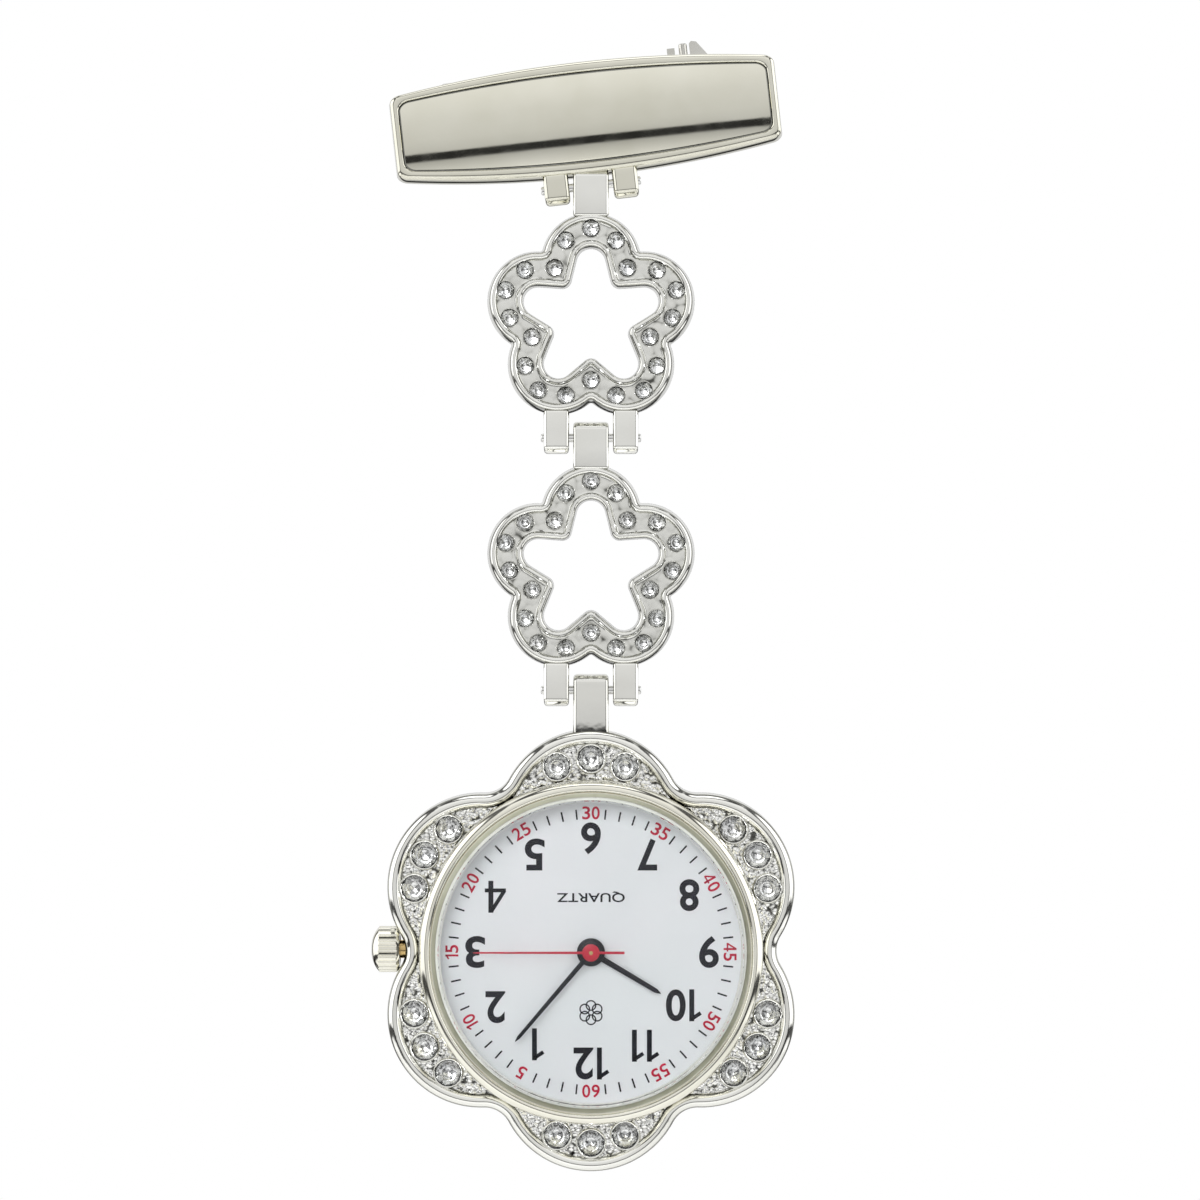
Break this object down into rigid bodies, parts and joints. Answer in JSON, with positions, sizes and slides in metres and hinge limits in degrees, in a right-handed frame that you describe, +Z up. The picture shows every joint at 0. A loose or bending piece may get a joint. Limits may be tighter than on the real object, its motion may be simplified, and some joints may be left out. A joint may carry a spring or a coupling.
{
  "type": "fob watch",
  "caption": "Pin-on nurse's fob watch: a brooch bar with a safety-catch needle, hinged open flower links set with stones, and a flower-shaped quartz watch hung upside down for its wearer.",
  "frame": {"origin": "a point on the brooch needle's axis, straight above the hanging chain", "axes": "+Z up, the front (dial) faces -Y, +X to the right of someone facing the dial; the chain hangs plumb and the bar is tilted 6.4 degrees about Y"},
  "size_m": [0.0395, 0.0096, 0.106],
  "materials": {
    "polished_plating": "bright polished cream-silver plating over cast zinc",
    "soft_steel": "plated pressed steel",
    "needle_steel": "drawn steel wire and turned steel",
    "back_steel": "brushed stainless steel",
    "cut_stone": "clear foil-backed cut crystal",
    "watch_glass": "clear polished watch glass",
    "clear_gasket": "translucent nylon",
    "black_gasket": "black nitrile rubber",
    "white_dial": "smooth white lacquer",
    "black_hand": "satin black lacquer",
    "red_hand": "satin red lacquer",
    "brass_work": "plain turned and stamped brass",
    "white_plastic": "moulded white plastic",
    "magnet": "sintered magnet",
    "copper_wire": "enamelled copper wire",
    "circuit_green": "green circuit board"
  },
  "bodies": {
    "brooch": {"brooch_bar": "polished_plating", "hinge_pin_top": "needle_steel", "pin_back_strip": "soft_steel", "pin_rivet": "soft_steel", "catch_housing": "soft_steel"},
    "needle": {"brooch_pin": "needle_steel"},
    "catch": {"catch_lock": "soft_steel"},
    "upper_link": {"upper_link_frame": "polished_plating", "upper_link_stones": "cut_stone", "hinge_pin_middle": "needle_steel"},
    "lower_link": {"lower_link_frame": "polished_plating", "lower_link_stones": "cut_stone", "hinge_pin_bottom": "needle_steel"},
    "watch": {"case_flower": "polished_plating", "case_stones": "cut_stone", "bezel_ring": "polished_plating", "crystal": "watch_glass", "crystal_gasket": "clear_gasket", "dial": "white_dial", "movement_holder": "white_plastic", "main_plate": "brass_work", "train_bridge": "brass_work", "bridge_screws": "needle_steel", "stator_plate": "soft_steel", "coil_core": "soft_steel", "coil_winding": "copper_wire", "circuit_board": "circuit_green", "quartz_can": "back_steel", "button_cell": "back_steel", "battery_strap": "soft_steel", "case_back": "back_steel", "back_gasket": "black_gasket", "crown_tube": "brass_work"},
    "lever": {"setting_lever": "needle_steel"},
    "crown": {"crown": "polished_plating", "winding_stem": "needle_steel", "clutch_wheel": "needle_steel", "crown_gasket": "black_gasket"},
    "hours": {"hour_hand": "black_hand", "hour_wheel": "brass_work"},
    "minutes": {"minute_hand": "black_hand", "centre_wheel": "brass_work"},
    "seconds": {"second_hand": "red_hand", "second_wheel": "brass_work"},
    "third": {"third_wheel": "brass_work"},
    "idler": {"idler_wheel": "white_plastic"},
    "rotor": {"motor_rotor": "magnet"},
    "minute_work": {"minute_wheel": "brass_work"}
  },
  "joints": [
    {"name": "pin_swing", "type": "hinge", "parent": "brooch", "child": "needle", "pos_m": [0.00896, 0, 0.00101], "axis": [0.1115, 0, -0.9938], "range_deg": [0, 80]},
    {"name": "catch_turn", "type": "hinge", "parent": "brooch", "child": "catch", "pos_m": [-0.0125, 0, -0.0014], "axis": [0.9938, 0, 0.1115], "range_deg": [0, 120]},
    {"name": "top_hinge", "type": "hinge", "parent": "brooch", "child": "upper_link", "pos_m": [0, -0.0037, -0.00971], "axis": [0.9938, 0, 0.1115], "range_deg": [-75, 75]},
    {"name": "middle_hinge", "type": "hinge", "parent": "upper_link", "child": "lower_link", "pos_m": [0, -0.0037, -0.03326], "axis": [1, 0, 0], "range_deg": [-75, 75]},
    {"name": "bottom_hinge", "type": "hinge", "parent": "lower_link", "child": "watch", "pos_m": [0, -0.0037, -0.05681], "axis": [1, 0, 0], "range_deg": [-75, 75]},
    {"name": "crown_pull", "type": "slide", "parent": "watch", "child": "lever", "axis": [-1, 0, 0], "range_m": [0, 0.0008]},
    {"name": "crown_turn", "type": "hinge", "parent": "lever", "child": "crown", "pos_m": [-0.018, -0.00295, -0.08107], "axis": [-1, 0, 0], "continuous": true},
    {"name": "seconds_turn", "type": "hinge", "parent": "watch", "child": "seconds", "pos_m": [0, -0.0037, -0.08107], "axis": [0, 1, 0], "continuous": true},
    {"name": "minutes_turn", "type": "hinge", "parent": "watch", "child": "minutes", "pos_m": [0, -0.0037, -0.08107], "axis": [0, 1, 0], "continuous": true},
    {"name": "hours_turn", "type": "hinge", "parent": "watch", "child": "hours", "pos_m": [0, -0.0037, -0.08107], "axis": [0, 1, 0], "continuous": true},
    {"name": "third_turn", "type": "hinge", "parent": "watch", "child": "third", "pos_m": [-0.00191, -0.0037, -0.07916], "axis": [0, 1, 0], "continuous": true},
    {"name": "idler_turn", "type": "hinge", "parent": "watch", "child": "idler", "pos_m": [0.00136, -0.0037, -0.07971], "axis": [0, 1, 0], "continuous": true},
    {"name": "rotor_turn", "type": "hinge", "parent": "watch", "child": "rotor", "pos_m": [0.00227, -0.0037, -0.07814], "axis": [0, 1, 0], "continuous": true},
    {"name": "minute_work_turn", "type": "hinge", "parent": "watch", "child": "minute_work", "pos_m": [0, -0.0037, -0.08323], "axis": [0, 1, 0], "continuous": true}
  ],
  "couplings": [
    {"joint": "minutes_turn", "follows": "seconds_turn", "ratio": 0.016667},
    {"joint": "hours_turn", "follows": "seconds_turn", "ratio": 0.0013889},
    {"joint": "third_turn", "follows": "seconds_turn", "ratio": -0.13333},
    {"joint": "idler_turn", "follows": "seconds_turn", "ratio": -5},
    {"joint": "rotor_turn", "follows": "seconds_turn", "ratio": 30},
    {"joint": "minute_work_turn", "follows": "seconds_turn", "ratio": -0.0055556}
  ]
}
